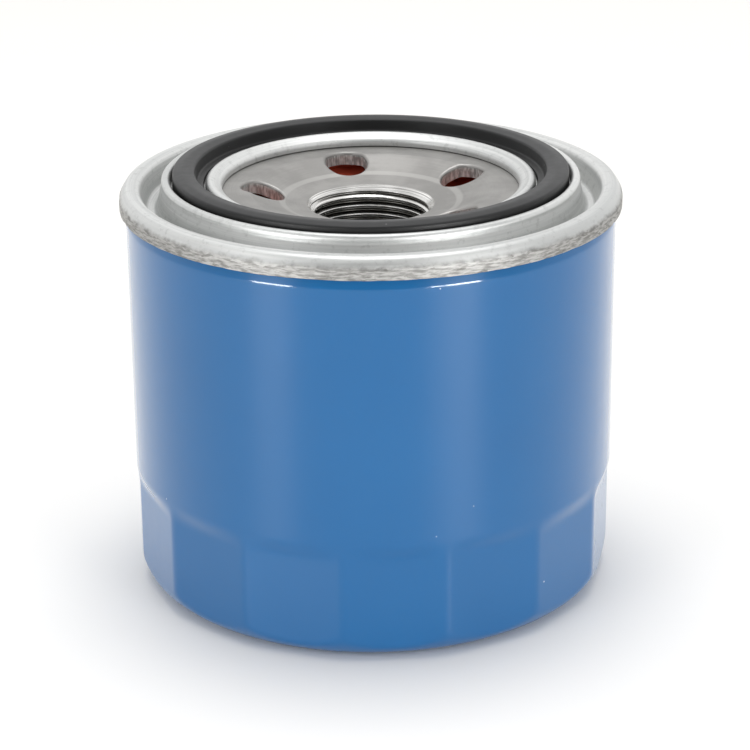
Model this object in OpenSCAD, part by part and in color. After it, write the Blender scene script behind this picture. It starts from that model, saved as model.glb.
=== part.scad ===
// Spin-on oil filter: painted steel can, seamed lid with a rubber gasket, threaded base plate,
// silicone anti-drain-back valve, pleated element on a support spring, and a bypass valve.
// Millimetres. Origin at the centre of the can's foot, +Z along the thread axis, gasket up.

/* [Can] */
// Outside diameter of the can's wall
can_d = 80; // [79.6:0.1:80.4]
// Thickness of the can's sheet
can_sheet = 0.6; // [0.5:0.05:0.7]
// Radius of the rounded bottom edge
can_edge_r = 5.5; // [3.5:0.1:6.5]
// Outside diameter of the ring that the can stands on
foot_d = 44; // [42:1:48]
// Height of the pressed recess inside the foot ring
foot_recess = 1.8; // [1:0.1:2.4]
// Height of the top edge of the can's wall, inside the seam
wall_top_z = 66.7; // [66:0.1:66.9]
// How far the wall is rolled in under the seam
neck_in = 0.45; // [0.2:0.05:0.6]
// Height at which the wall begins to roll in
neck_low_z = 62.6; // [61:0.1:63]

/* [Wrench flats] */
// Number of wrench flats round the closed end
flat_count = 15; // [12:1:15]
// Twice the distance from the axis to each flat
across_flats = 78; // [77.4:0.1:78.8]
// Diameter over the rounded corners between flats
across_corners = 79.7; // [79.2:0.1:80]
// Height at which the flats begin to run out into the round wall
flat_top_z = 17; // [12:0.5:22]
// Height of the sloping shoulder above the flats
shoulder_h = 3.4; // [2:0.2:6]
// Turn of the flats about the axis, in degrees
flat_turn = -7; // [-12:0.1:12]

/* [Lid and seam] */
// Outside diameter of the rolled seam
seam_d = 82; // [81.8:0.1:82.2]
// Height of the seam's crest
seam_top_z = 67.8; // [67.7:0.1:68.2]
// Height of the seam's lower edge
seam_low_z = 64.25; // [64:0.05:64.6]
// Thickness of the lid's sheet
lid_sheet = 0.7; // [0.6:0.05:0.75]
// Height of the floor of the trough between the seam and the rim
trough_z = 64; // [63.6:0.1:64.4]
// Height of the folded rim round the gasket groove
rim_top_z = 69.2; // [68.8:0.1:69.4]
// Inside diameter of the gasket groove's outer wall
groove_d = 65.2; // [65:0.1:66.2]
// Height of the folded collar inside the gasket
collar_top_z = 68.95; // [68.4:0.05:69.1]
// Diameter of the opening inside the collar
collar_d = 48.4; // [48:0.1:48.8]

/* [Base plate] */
// Height of the base plate's flat outer ring
plate_z = 66.45; // [66.4:0.01:66.5]
// Thickness of the base plate
plate_t = 2.2; // [2:0.1:2.4]
// Diameter of the base plate
plate_d = 66.4; // [66:0.1:66.8]
// Minor diameter of the threaded bore, M20 by 1.5
thread_minor_d = 18.38; // [18.3:0.01:18.5]
// Height of the lower end of the thread
thread_low_z = 55.4; // [55:0.1:56]
// Height of the upper end of the thread
thread_top_z = 62.4; // [62:0.1:62.8]
// Number of inlet holes
inlet_count = 5; // [4:1:6]
// Diameter of an inlet hole
inlet_d = 7; // [5:0.1:7.2]
// Diameter of the circle through the inlet holes' centres
inlet_circle_d = 35.6; // [34.6:0.1:36.2]
// Turn of the inlet holes about the axis, in degrees
inlet_turn = 103.3; // [0:0.1:144]

/* [Gasket] */
// Outside diameter of the sealing gasket
gasket_d = 64.6; // [64:0.1:65.2]
// Inside diameter of the sealing gasket
gasket_bore_d = 54.3; // [54.1:0.1:54.6]
// Height of the gasket's sealing face
gasket_top_z = 70.3; // [70:0.05:70.6]

/* [Filter element] */
// Diameter over the outer folds of the paper
media_d = 69.6; // [66:0.2:70]
// Diameter inside the inner folds of the paper
media_bore_d = 34.4; // [34.2:0.2:36]
// Number of pleats
pleat_count = 52; // [40:1:56]
// Thickness of the paper
paper_t = 0.6; // [0.5:0.05:0.7]
// Outside diameter of the perforated centre tube
tube_d = 32.2; // [31.6:0.1:32.4]
// Outside diameter of the end caps
cap_d = 72.3; // [71.6:0.1:73]
// Height of the underside of the bottom end cap
element_low_z = 9; // [8.8:0.1:9.2]
// Height of the upper face of the top end cap
element_top_z = 56.5; // [56:0.1:56.6]
// Thickness of the end caps' sheet
cap_sheet = 0.5; // [0.4:0.05:0.5]

/* [Valves and springs] */
// Outside diameter of the anti-drain-back valve's lip
lip_d = 51; // [49:0.5:52]
// Wire diameter of the support spring
support_wire_d = 1.6; // [1.2:0.1:1.8]
// Number of turns of the support spring
support_turns = 3.25; // [3:0.25:3.5]
// Wire diameter of the bypass spring
bypass_wire_d = 0.8; // [0.6:0.1:0.9]
// Number of turns of the bypass spring
bypass_turns = 5.5; // [4.5:0.5:6]
// Diameter of the bypass valve's disc
bypass_disc_d = 15.2; // [14.6:0.1:15.6]
// Diameter of the port that the bypass disc closes
bypass_port_d = 9.6; // [9:0.1:10]

/* [Hidden] */
$fn = 96;

arc_steps = 4;
fit_gap = 0.05;
slip_gap = 0.3;
can_r = can_d / 2;
neck_h = 1.6;
seam_r = seam_d / 2 - lid_sheet / 2;
groove_floor_z = plate_z + fit_gap + lid_sheet / 2;
thread_r = thread_minor_d / 2;
neck_r = 11.6;
tube_sheet = 0.6;
cap_floor_z = element_low_z + cap_sheet;
cap_roof_z = element_top_z - cap_sheet;
adhesive_t = 1.1;
media_low_z = cap_floor_z + adhesive_t + 2 * fit_gap;
media_top_z = cap_roof_z - adhesive_t - 2 * fit_gap;
valve_sheet = 0.5;
seat_r = 9.5;
seat_floor_z = 5.2;
cage_top_z = 16.2;
disc_low_z = seat_floor_z + valve_sheet + 0.65;
disc_t = 0.6;
stem_r = 1.5;

// ---- Bent sheet: outlines from a few corners, each with a bend radius ----

function unit(v) = v / norm(v);
function bearing(v) = atan2(v[1], v[0]);
function short_turn(a) = a > 180 ? a - 360 : (a < -180 ? a + 360 : a);

// Points of the arc that rounds corner b between a and c
function corner(a, b, c, r) =
    let (u = unit(a - b), v = unit(c - b))
    let (half = acos(u * v) / 2)
    let (centre = b + unit(u + v) * r / sin(half))
    let (start = bearing(b + u * r / tan(half) - centre))
    let (turn = short_turn(bearing(b + v * r / tan(half) - centre) - start))
    [for (i = [0:arc_steps]) centre + r * [cos(start + turn * i / arc_steps), sin(start + turn * i / arc_steps)]];

function xy(p) = [p[0], p[1]];

// Path through corners given as [radius, height] or [radius, height, bend radius]
function bent(path) = [
    for (i = [0:len(path) - 1])
        each (len(path[i]) == 3 && path[i][2] > 0
            ? corner(xy(path[i - 1]), xy(path[i]), xy(path[i + 1]), path[i][2])
            : [xy(path[i])])
];

// Path moved sideways by d, to the left of its direction
function beside(path, d) = [
    for (i = [0:len(path) - 1])
        let (before = unit(i > 0 ? path[i] - path[i - 1] : path[1] - path[0]))
        let (after = unit(i < len(path) - 1 ? path[i + 1] - path[i] : path[i] - path[i - 1]))
        let (middle = unit(before + after))
        path[i] + d / (before * middle) * [-middle[1], middle[0]]
];

function reversed(path) = [for (i = [len(path) - 1:-1:0]) path[i]];
function sheet(path, t) = concat(beside(path, t / 2), reversed(beside(path, -t / 2)));

module turned(points) {
    rotate_extrude() polygon(points);
}

module bent_ring(corners, t) {
    turned(sheet(bent(corners), t));
}

module ring(outer_r, inner_r, low_z, high_z) {
    turned([[inner_r, low_z], [outer_r, low_z], [outer_r, high_z], [inner_r, high_z]]);
}

// ---- Coil spring: a round wire swept along a helix whose radius may change ----

wire_sides = 8;
steps_per_turn = 20;

function coil_centre(r0, r1, z0, z1, turns, s) =
    let (r = r0 + (r1 - r0) * s)
    [r * cos(360 * turns * s), r * sin(360 * turns * s), z0 + (z1 - z0) * s];

module coil(r0, r1, z0, z1, turns, wire_d) {
    rings = ceil(turns * steps_per_turn);
    points = [
        for (i = [0:rings])
            let (angle = 360 * turns * i / rings)
            let (centre = coil_centre(r0, r1, z0, z1, turns, i / rings))
            for (j = [0:wire_sides - 1])
                let (a = 360 * j / wire_sides)
                centre + wire_d / 2 * [cos(a) * cos(angle), cos(a) * sin(angle), sin(a)]
    ];
    sides = [
        for (i = [0:rings - 1])
            for (j = [0:wire_sides - 1])
                let (k = (j + 1) % wire_sides)
                each [
                    [i * wire_sides + j, i * wire_sides + k, (i + 1) * wire_sides + k],
                    [i * wire_sides + j, (i + 1) * wire_sides + k, (i + 1) * wire_sides + j]
                ]
    ];
    first = [for (j = [wire_sides - 1:-1:0]) j];
    last = [for (j = [0:wire_sides - 1]) rings * wire_sides + j];
    polyhedron(points, concat(sides, [first, last]), convexity = 8);
}

// ---- Can ----

can_outline = bent([
    [0, foot_recess],
    [foot_d / 2 - 5, foot_recess, 1.6],
    [foot_d / 2, 0, 1.6],
    [can_r, 0, can_edge_r],
    [can_r, neck_low_z, 2],
    [can_r - neck_in, neck_low_z + neck_h, 2],
    [can_r - neck_in, wall_top_z]
]);

function flat_ring(apothem) = [
    for (i = [0:flat_count - 1])
        let (a = flat_turn - 90 + 360 * i / flat_count)
        apothem / cos(180 / flat_count) * [cos(a), sin(a)]
];

// The can's solid form, shrunk by inset on every side
module can_form(inset) {
    outline = beside(can_outline, inset);
    last = len(outline) - 1;
    apothem = across_flats / 2 - inset;
    intersection() {
        turned(concat([[0, wall_top_z]], [[0, outline[0][1]]], [for (i = [1:last]) outline[i]]));
        union() {
            intersection() {
                linear_extrude(flat_top_z + shoulder_h) polygon(flat_ring(apothem));
                cylinder(h = flat_top_z + shoulder_h, r = across_corners / 2 - inset);
            }
            translate([0, 0, flat_top_z]) cylinder(h = shoulder_h, r1 = apothem, r2 = can_r - inset);
            translate([0, 0, flat_top_z + shoulder_h]) cylinder(h = wall_top_z, r = can_r - inset);
        }
    }
}

module can_shell() {
    color("#4279b3") difference() {
        can_form(0);
        can_form(can_sheet);
        translate([0, 0, wall_top_z - 1]) cylinder(h = 2, r = can_r - neck_in - can_sheet);
    }
}

// ---- Lid: one stamped sheet, from the collar inside the gasket to the seam's hem ----

rim_fold_r = lid_sheet / 2 + 0.03;
rim_inner_r = groove_d / 2 + lid_sheet / 2;
rim_outer_r = rim_inner_r + 2 * rim_fold_r + 0.02;
rim_fold_z = rim_top_z - rim_fold_r - lid_sheet / 2;
trough_mid_z = trough_z - lid_sheet / 2;
crest_mid_z = seam_top_z - lid_sheet / 2;
collar_mid_r = collar_d / 2 + lid_sheet / 2;
collar_mid_z = collar_top_z - lid_sheet / 2;
collar_wall_r = gasket_bore_d / 2 - 0.25 - lid_sheet / 2;

module seaming_lid() {
    color("#c9cccd") bent_ring([
        [collar_mid_r, plate_z + fit_gap],
        [collar_mid_r, collar_mid_z - 1.3, 0.65],
        [collar_wall_r, collar_mid_z, 0.45],
        [collar_wall_r, groove_floor_z, 0.4],
        [rim_inner_r, groove_floor_z, 0.4],
        [rim_inner_r, rim_fold_z + rim_fold_r, rim_fold_r],
        [rim_outer_r, rim_fold_z + rim_fold_r, rim_fold_r],
        [rim_outer_r, rim_fold_z - 0.6],
        [rim_inner_r + 1.75, trough_mid_z, 1.1],
        [36.8, trough_mid_z, 1],
        [38.05, crest_mid_z, 0.8],
        [seam_r, crest_mid_z, 1.2],
        [seam_r, seam_low_z]
    ], lid_sheet);
}

// Sealing compound between the lid's upright wall and the can
module seam_compound() {
    color("#2c4a3c") ring(can_r - neck_in - can_sheet - fit_gap, 38.4, 65.6, wall_top_z);
}

// ---- Base plate: dished, with a drawn and threaded neck ----

hub_r = 13.9;
step_r = 15.2;
knee_r = 19.9;
hub_edge_z = 64.45;
step_z = 64.85;
entry_r = 10.45;
entry_z = 63.85;

module base_plate() {
    top = bent([
        [thread_r, thread_top_z],
        [entry_r, entry_z],
        [hub_r, hub_edge_z],
        [step_r, step_z],
        [knee_r, plate_z, 2],
        [plate_d / 2, plate_z]
    ]);
    under = bent([
        [plate_d / 2, plate_z - plate_t],
        [knee_r, plate_z - plate_t, 2],
        [step_r, step_z - plate_t - 0.2],
        [neck_r, entry_z - plate_t - 0.2, 1.4],
        [neck_r, thread_low_z - 0.7],
        [thread_r + 0.7, thread_low_z - 0.7],
        [thread_r, thread_low_z]
    ]);
    color("#b9b7b3") difference() {
        turned(concat(top, under));
        for (i = [0:inlet_count - 1])
            rotate([0, 0, inlet_turn + 360 * i / inlet_count])
                translate([inlet_circle_d / 2, 0, plate_z - 8])
                    cylinder(h = 12, r = inlet_d / 2);
    }
}

// ---- Gasket: raised sealing face with a step down to the collar ----

module sealing_gasket() {
    low = groove_floor_z + lid_sheet / 2 + fit_gap;
    bore_r = gasket_bore_d / 2;
    face_r = bore_r + 1.5;
    step_h = 0.8;
    color("#262829") turned(bent([
        [bore_r, low],
        [bore_r, low + step_h, 0.25],
        [face_r - 0.4, low + step_h + 0.15, 0.4],
        [face_r, gasket_top_z, 0.35],
        [gasket_d / 2, gasket_top_z, 0.35],
        [gasket_d / 2, low]
    ]));
}

// ---- Support spring under the element ----

module support_spring() {
    color("#8d9093") coil(
        r0 = 26, r1 = 16.2,
        z0 = can_sheet + support_wire_d / 2 + fit_gap,
        z1 = element_low_z - support_wire_d / 2 - fit_gap,
        turns = support_turns, wire_d = support_wire_d
    );
}

// ---- Filter element ----

module top_end_cap() {
    mid_z = element_top_z - cap_sheet / 2;
    color("#b8bcc0") bent_ring([
        [13.4, mid_z - 2.4],
        [13.4, mid_z, 0.7],
        [(cap_d - cap_sheet) / 2, mid_z, 0.9],
        [(cap_d - cap_sheet) / 2, mid_z - 4]
    ], cap_sheet);
}

module bottom_end_cap() {
    mid_z = element_low_z + cap_sheet / 2;
    color("#b8bcc0") bent_ring([
        [seat_r + valve_sheet, mid_z],
        [(cap_d - cap_sheet) / 2, mid_z, 0.9],
        [(cap_d - cap_sheet) / 2, mid_z + 4]
    ], cap_sheet);
}

tube_hole_d = 4.2;
tube_hole_rows = 6;
tube_holes_round = 8;

module center_tube() {
    low = cap_floor_z + fit_gap;
    high = cap_roof_z - fit_gap;
    row_pitch = (high - low) / (tube_hole_rows + 0.5);
    color("#a7abae") difference() {
        ring(tube_d / 2, tube_d / 2 - tube_sheet, low, high);
        for (row = [0:tube_hole_rows - 1])
            for (i = [0:tube_holes_round - 1])
                rotate([0, 0, 360 / tube_holes_round * (i + (row % 2) / 2)])
                    translate([tube_d / 2 - 3, 0, low + row_pitch * (row + 0.75)])
                        rotate([0, 90, 0]) cylinder(h = 4, r = tube_hole_d / 2);
    }
}

fold_half_w = 0.5;

// Middle line of the pleated paper, as a closed loop
pleat_line = [
    for (i = [0:pleat_count - 1])
        let (tip = 360 * i / pleat_count)
        let (valley = tip + 180 / pleat_count)
        let (outer_r = (media_d - paper_t) / 2)
        let (inner_r = (media_bore_d + paper_t) / 2)
        let (outer_a = asin(fold_half_w / outer_r))
        let (inner_a = asin(fold_half_w / inner_r))
        each [
            outer_r * [cos(tip - outer_a), sin(tip - outer_a)],
            outer_r * [cos(tip + outer_a), sin(tip + outer_a)],
            inner_r * [cos(valley - inner_a), sin(valley - inner_a)],
            inner_r * [cos(valley + inner_a), sin(valley + inner_a)]
        ]
];

// Closed loop moved sideways by d
function loop_beside(loop, d) =
    let (n = len(loop))
    [
        for (i = [0:n - 1])
            let (before = unit(loop[i] - loop[(i + n - 1) % n]))
            let (after = unit(loop[(i + 1) % n] - loop[i]))
            let (middle = unit(before + after))
            loop[i] + d / (before * middle) * [-middle[1], middle[0]]
    ];

module filter_media() {
    color("#d9c58c") translate([0, 0, media_low_z])
        linear_extrude(media_top_z - media_low_z) difference() {
            polygon(loop_beside(pleat_line, -paper_t / 2));
            polygon(loop_beside(pleat_line, paper_t / 2));
        }
}

// Crimped channel over the fold where the paper's two ends meet
module media_seam_clip() {
    clip_sheet = 0.4;
    clip_depth = 3.6;
    inner_w = 2 * (fold_half_w + paper_t / 2) + 0.3;
    outer_w = inner_w + 2 * clip_sheet;
    color("#9a9da0") translate([media_d / 2 + fit_gap + clip_sheet - clip_depth, 0, media_low_z + 0.5])
        linear_extrude(media_top_z - media_low_z - 1) difference() {
            translate([0, -outer_w / 2]) square([clip_depth, outer_w]);
            translate([-1, -inner_w / 2]) square([clip_depth + 1 - clip_sheet, inner_w]);
        }
}

module cap_adhesive(low_z) {
    color("#5b5f5a") ring(cap_d / 2 - cap_sheet - 0.6, tube_d / 2 + 0.2, low_z, low_z + adhesive_t);
}

module top_cap_adhesive() {
    cap_adhesive(cap_roof_z - fit_gap - adhesive_t);
}

module bottom_cap_adhesive() {
    cap_adhesive(cap_floor_z + fit_gap);
}

// ---- Anti-drain-back valve: a soft hub on the neck, and a lip that closes the inlet holes ----

valve_split_r = 15.5;
membrane_t = 1.3;
membrane_low_z = 59;
lip_top_z = plate_z - plate_t - slip_gap;
membrane_rise = (lip_top_z - 0.35 - membrane_t - membrane_low_z) / (lip_d / 2 - valve_split_r);

module anti_drainback_hub() {
    inner = neck_r + 0.1;
    color("#b5452f") turned(bent([
        [inner, element_top_z - 2.2],
        [12.95, element_top_z - 2.2],
        [12.95, element_top_z + fit_gap, 0.05],
        [valve_split_r - 0.15, element_top_z + fit_gap, 0.6],
        [valve_split_r - 0.15, membrane_low_z + membrane_t],
        [13.6, membrane_low_z + membrane_t, 0.5],
        [13.4, 61.1],
        [inner + 0.8, 61.1],
        [inner, 60.1]
    ]));
}

module anti_drainback_lip() {
    start_r = valve_split_r + 0.15;
    end_r = lip_d / 2;
    rise = membrane_rise * (end_r - start_r);
    color("#b5452f") turned([
        [start_r, membrane_low_z],
        [end_r, membrane_low_z + rise],
        [end_r, lip_top_z],
        [end_r - 1, lip_top_z],
        [end_r - 1.6, membrane_low_z + rise - 1.6 * membrane_rise + membrane_t],
        [start_r, membrane_low_z + membrane_t]
    ]);
}

// ---- Bypass valve in the bottom end cap ----

module bypass_valve_seat() {
    flange_z = cap_floor_z + fit_gap + valve_sheet / 2;
    color("#a9adb0") bent_ring([
        [bypass_port_d / 2, seat_floor_z + valve_sheet / 2],
        [seat_r - valve_sheet / 2, seat_floor_z + valve_sheet / 2, 0.6],
        [seat_r - valve_sheet / 2, flange_z, 0.4],
        [tube_d / 2 - tube_sheet - 0.6, flange_z]
    ], valve_sheet);
}

window_w = 6;
window_count = 4;

module bypass_valve_cage() {
    flange_z = cap_floor_z + 2 * fit_gap + 1.5 * valve_sheet;
    color("#a9adb0") difference() {
        bent_ring([
            [stem_r + 0.08 + valve_sheet / 2, cage_top_z + 0.8],
            [stem_r + 0.08 + valve_sheet / 2, cage_top_z - valve_sheet / 2, 0.35],
            [8.6, cage_top_z - valve_sheet / 2, 1.2],
            [8.6, flange_z, 0.4],
            [tube_d / 2 - tube_sheet - 0.8, flange_z]
        ], valve_sheet);
        for (i = [0:window_count - 1])
            rotate([0, 0, 45 + 360 * i / window_count])
                translate([5, -window_w / 2, flange_z + 0.9])
                    cube([8, window_w, 3.6]);
    }
}

module bypass_spring() {
    color("#8d9093") coil(
        r0 = 4.3, r1 = 4.3,
        z0 = disc_low_z + disc_t + bypass_wire_d / 2 + fit_gap,
        z1 = cage_top_z - valve_sheet - bypass_wire_d / 2 - fit_gap,
        turns = bypass_turns, wire_d = bypass_wire_d
    );
}

module bypass_valve_disc() {
    color("#b3b6b8") ring(bypass_disc_d / 2, stem_r + 0.02, disc_low_z, disc_low_z + disc_t);
}

module bypass_valve_seal() {
    color("#2a2c2c") ring(bypass_disc_d / 2 - 0.2, bypass_port_d / 2 + 0.35, disc_low_z - 0.6, disc_low_z - 0.02);
}

module bypass_valve_stem() {
    head_low_z = disc_low_z - 0.75;
    color("#c7b27a") turned([
        [0, head_low_z],
        [2.3, head_low_z],
        [2.6, head_low_z + 0.3],
        [2.6, disc_low_z - 0.02],
        [stem_r, disc_low_z - 0.02],
        [stem_r, 18.4],
        [stem_r - 0.5, 18.9],
        [0, 18.9]
    ]);
}

can_shell();
seaming_lid();
seam_compound();
base_plate();
sealing_gasket();
support_spring();
top_end_cap();
bottom_end_cap();
center_tube();
filter_media();
media_seam_clip();
top_cap_adhesive();
bottom_cap_adhesive();
anti_drainback_hub();
anti_drainback_lip();
bypass_valve_seat();
bypass_valve_cage();
bypass_spring();
bypass_valve_disc();
bypass_valve_seal();
bypass_valve_stem();
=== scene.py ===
"""Looks of a spin-on oil filter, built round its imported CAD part.

Outlines and positions are in millimetres, in the CAD frame: origin at the centre of the can's
foot, +Z along the thread axis. Meshes are made in metres.
"""

import math
import random

import bmesh
import bpy
import numpy as np
from mathutils import Matrix, Vector


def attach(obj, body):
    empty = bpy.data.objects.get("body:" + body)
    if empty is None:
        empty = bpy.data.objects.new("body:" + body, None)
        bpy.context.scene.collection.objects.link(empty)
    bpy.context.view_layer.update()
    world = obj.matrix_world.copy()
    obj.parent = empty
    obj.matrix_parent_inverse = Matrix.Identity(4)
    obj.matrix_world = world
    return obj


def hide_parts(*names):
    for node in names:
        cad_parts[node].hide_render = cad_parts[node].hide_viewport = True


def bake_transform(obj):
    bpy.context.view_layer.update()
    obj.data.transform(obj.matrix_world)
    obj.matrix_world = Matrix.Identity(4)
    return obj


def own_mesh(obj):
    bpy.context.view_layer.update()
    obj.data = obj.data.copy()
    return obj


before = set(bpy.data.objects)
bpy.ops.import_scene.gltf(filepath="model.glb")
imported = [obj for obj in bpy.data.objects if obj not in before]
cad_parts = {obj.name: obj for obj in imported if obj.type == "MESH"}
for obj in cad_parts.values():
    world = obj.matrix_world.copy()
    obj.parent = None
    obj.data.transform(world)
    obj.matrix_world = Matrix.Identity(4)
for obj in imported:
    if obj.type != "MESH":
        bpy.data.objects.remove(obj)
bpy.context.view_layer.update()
scene = bpy.context.scene

MM = 0.001
TAU = 2 * math.pi
FULL = 360
ARC_STEP = math.radians(9)
SMOOTH_ANGLE = math.radians(34)
rng = random.Random(14)

# ---- Dimensions, in millimetres ----

CAN_R = 40.0
CAN_SHEET = 0.6
CAN_EDGE_R = 5.5
FOOT_R = 22.0
FOOT_RECESS = 1.8
WALL_TOP_Z = 66.7
NECK_IN = 0.45
NECK_LOW_Z = 62.6
NECK_H = 1.6
FLAT_COUNT = 15
APOTHEM = 39.0
FLAT_CORNER_R = 3.5
FLAT_LOW_Z = 17.2
FLAT_HIGH_Z = 20.8
FLAT_TURN = math.radians(-97)

LID_SHEET = 0.7
RIM_BORE_R = 32.6
RIM_TOP_Z = 69.2
TROUGH_FLOOR_Z = 64.0
TROUGH_OUT_R = 36.8
CREST_TOP_Z = 67.8
CREST_IN_R = 38.0
CREST_OUT_R = 39.75
COLLAR_BORE_R = 24.2
COLLAR_TOP_Z = 68.95
SEAM_R = 41.0
HEM_LOW_Z = 64.3
COMPOUND_LOW_Z = 65.6
COMPOUND_IN_R = 38.4
COMPOUND_OUT_R = 38.9
PLATE_Z = 66.45
PLATE_T = 2.2
PLATE_R = 33.2
DISH_R = 19.9
NECK_RIM_R = 15.2
FIT_GAP = 0.05
GROOVE_FLOOR_Z = PLATE_Z + FIT_GAP + LID_SHEET / 2
GASKET_R = 32.3
GASKET_BORE_R = 27.15
GASKET_FACE_R = 28.65
GASKET_CROWN_R = 30.6
GASKET_TOP_Z = 70.3

THREAD_MINOR_R = 9.19
THREAD_MAJOR_R = 10.0
THREAD_PITCH = 1.5
THREAD_LOW_Z = 55.4
THREAD_TOP_Z = 62.4
ENTRY_R = 10.45
ENTRY_Z = 63.85
NECK_R = 11.6
INLET_COUNT = 5
INLET_R = 3.5
INLET_CIRCLE_R = 17.8
INLET_TURN = math.radians(103.3)

CAP_R = 36.15
CAP_SHEET = 0.5
ELEMENT_LOW_Z = 9.0
ELEMENT_TOP_Z = 56.5
CAP_FLOOR_Z = ELEMENT_LOW_Z + CAP_SHEET
CAP_ROOF_Z = ELEMENT_TOP_Z - CAP_SHEET
ADHESIVE_T = 1.1
MEDIA_LOW_Z = CAP_FLOOR_Z + ADHESIVE_T + 2 * FIT_GAP
MEDIA_TOP_Z = CAP_ROOF_Z - ADHESIVE_T - 2 * FIT_GAP
MEDIA_R = 34.8
MEDIA_BORE_R = 17.2
PLEATS = 52
PAPER_T = 0.6
TUBE_R = 16.1
TUBE_SHEET = 0.6
TUBE_ROWS = 6
TUBE_ROUND = 8
TUBE_HOLE_R = 2.1

SUPPORT_WIRE = 1.6
SUPPORT_FOOT_R = 26.0
SUPPORT_HEAD_R = 16.2

VALVE_SHEET = 0.5
SEAT_R = 9.5
SEAT_FLOOR_Z = 5.2
CAGE_TOP_Z = 16.2
DISC_LOW_Z = SEAT_FLOOR_Z + VALVE_SHEET + 0.65
DISC_T = 0.6
DISC_R = 7.6
PORT_R = 4.8
STEM_R = 1.5
STEM_HEAD_R = 2.6
STEM_TOP_Z = 18.9
CAGE_MID_R = 8.6
BYPASS_WIRE = 0.8
BYPASS_COIL_R = 4.3


# ---- Outlines: bent sheet from a few corners, each with a bend radius ----


def unit(v):
    return v / np.hypot(v[0], v[1])


def corner(a, b, c, r):
    """Points of the arc that rounds corner b between a and c."""
    u, v = unit(a - b), unit(c - b)
    half = math.acos(float(np.clip(u @ v, -1, 1))) / 2
    centre = b + unit(u + v) * r / math.sin(half)
    first = b + u * r / math.tan(half) - centre
    last = b + v * r / math.tan(half) - centre
    start = math.atan2(first[1], first[0])
    turn = (math.atan2(last[1], last[0]) - start + math.pi) % TAU - math.pi
    steps = max(2, math.ceil(abs(turn) / ARC_STEP))
    at = start + turn * np.arange(steps + 1) / steps
    return [centre + r * np.array([math.cos(t), math.sin(t)]) for t in at]


def bent(path):
    """Path through corners given as (radius, height) or (radius, height, bend radius)."""
    spots = [np.array(p[:2], float) for p in path]
    points = []
    for i, p in enumerate(path):
        if len(p) == 3 and p[2] > 0:
            points += corner(spots[i - 1], spots[i], spots[(i + 1) % len(path)], p[2])
        else:
            points.append(spots[i])
    return np.array(points)


def beside(path, d):
    """Path moved sideways by d, to the left of its direction."""
    steps = np.diff(path, axis=0)
    steps /= np.linalg.norm(steps, axis=1)[:, None]
    before = np.vstack([steps[:1], steps])
    after = np.vstack([steps, steps[-1:]])
    middle = before + after
    middle /= np.linalg.norm(middle, axis=1)[:, None]
    reach = d / (before * middle).sum(1)
    return path + reach[:, None] * np.stack([-middle[:, 1], middle[:, 0]], 1)


def dense(path, step, closed=False):
    """Path with points added so that no stretch is longer than step."""
    ends = np.roll(path, -1, axis=0) if closed else path[1:]
    out = []
    for a, b in zip(path, ends):
        n = max(1, math.ceil(np.linalg.norm(b - a) / step))
        out += [a + (b - a) * i / n for i in range(n)]
    if not closed:
        out.append(path[-1])
    return np.array(out)


def sheet(path, t, step=0.6):
    """Closed outline of a sheet of thickness t along path, with softened cut edges."""
    path = dense(path, step)
    left, right = beside(path, t / 2), beside(path, -t / 2)
    there = (left, right, path[-1] - path[-2])
    back = (right[::-1], left[::-1], path[0] - path[1])
    out = []
    for side, end, along in (there, back):
        out += list(side)
        middle, across = (side[-1] + end[-1]) / 2, (side[-1] - end[-1]) / 2
        for turn in (30, 62, 118, 150):
            a = math.radians(turn)
            out.append(middle + across * math.cos(a) + unit(along) * 0.3 * t / 2 * math.sin(a))
    return np.array(out)


def area(outline):
    x, y = outline[:, 0], outline[:, 1]
    return float((x * np.roll(y, -1) - np.roll(x, -1) * y).sum() / 2)


# ---- Meshes ----


def piece(name, points, faces, materials, face_slots=None):
    """A mesh object from points in millimetres, smooth except at its sharp edges."""
    mesh = bpy.data.meshes.new(name)
    if isinstance(faces, np.ndarray):
        faces = faces.tolist()
    mesh.from_pydata((np.asarray(points, float) * MM).tolist(), [], faces)
    for material in materials:
        mesh.materials.append(material)
    if face_slots is not None:
        mesh.polygons.foreach_set("material_index", np.asarray(face_slots, np.int32))
    obj = bpy.data.objects.new(name, mesh)
    scene.collection.objects.link(obj)
    weld(obj, 0.001, 0.01)
    shade(obj)
    return obj


def weld(obj, distance, reach=math.inf):
    """Joins points closer than distance, up to reach from the axis, and turns the faces outwards."""
    bm = bmesh.new()
    bm.from_mesh(obj.data)
    near = [v for v in bm.verts if math.hypot(v.co.x, v.co.y) < reach * MM]
    bmesh.ops.remove_doubles(bm, verts=near, dist=distance * MM)
    bmesh.ops.recalc_face_normals(bm, faces=bm.faces)
    bm.to_mesh(obj.data)
    bm.free()


def shade(obj):
    """Smooth shading, but for edges turned by more than SMOOTH_ANGLE."""
    obj.data.shade_smooth()
    obj.data.set_sharp_from_angle(angle=SMOOTH_ANGLE)


def grid_faces(rows, columns):
    """Quads of a grid that closes on itself both ways."""
    i, j = np.meshgrid(np.arange(rows), np.arange(columns), indexing="ij")
    here, ahead = i * columns, (i + 1) % rows * columns
    beyond = (j + 1) % columns
    return np.stack([here + j, ahead + j, ahead + beyond, here + beyond], -1).reshape(-1, 4)


def tube_faces(rings, sides):
    """Quads between successive rings of points, and a face across each open end."""
    faces = []
    for start in range(0, (rings - 1) * sides, sides):
        for j in range(sides):
            k = (j + 1) % sides
            faces.append([start + j, start + k, start + sides + k, start + sides + j])
    faces.append(list(range(sides))[::-1])
    faces.append([(rings - 1) * sides + j for j in range(sides)])
    return faces


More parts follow.
